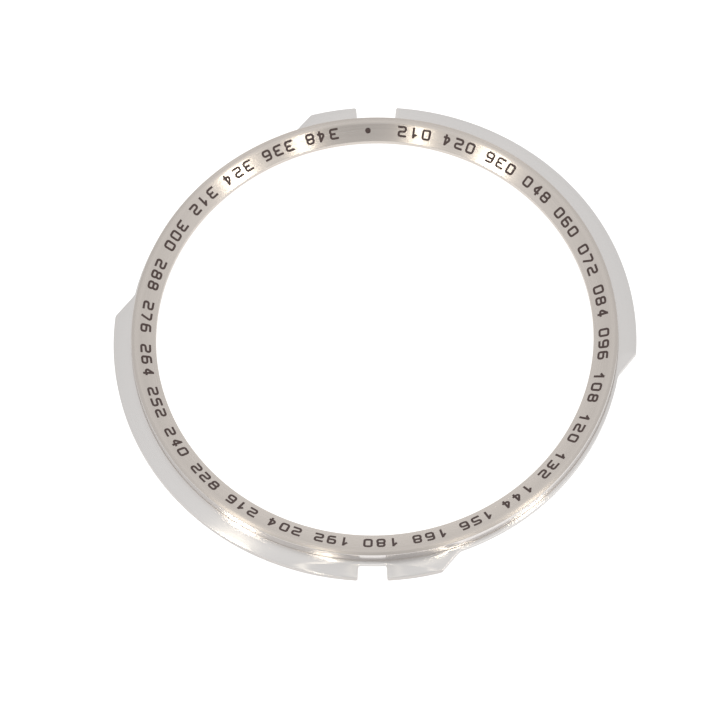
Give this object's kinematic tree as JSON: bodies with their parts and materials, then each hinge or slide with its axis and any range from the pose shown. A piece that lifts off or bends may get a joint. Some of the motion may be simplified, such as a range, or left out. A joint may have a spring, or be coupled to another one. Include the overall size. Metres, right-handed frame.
{
  "type": "watch bezel",
  "caption": "Metal watch bezel: a sloping index face round a wide opening, a raised crown with a steep outer wall, and a thin lobed flange with locating notches.",
  "frame": {"origin": "on the ring's axis, at the underside of the flange", "axes": "+Z along the ring's axis out of the marked side, +Y through the middle of the wide notch"},
  "size_m": [0.042, 0.0419, 0.0016],
  "materials": {
    "turned_flange_steel": "flat face turned with very fine concentric lines, bright edges",
    "brushed_ring_steel": "index face satin brushed round the ring, outer wall polished",
    "marking_lacquer": "dark warm grey lacquer, satin"
  },
  "bodies": {
    "root": {"mounting_flange": "turned_flange_steel", "index_ring": "brushed_ring_steel", "zero_pip": "marking_lacquer"}
  },
  "joints": []
}
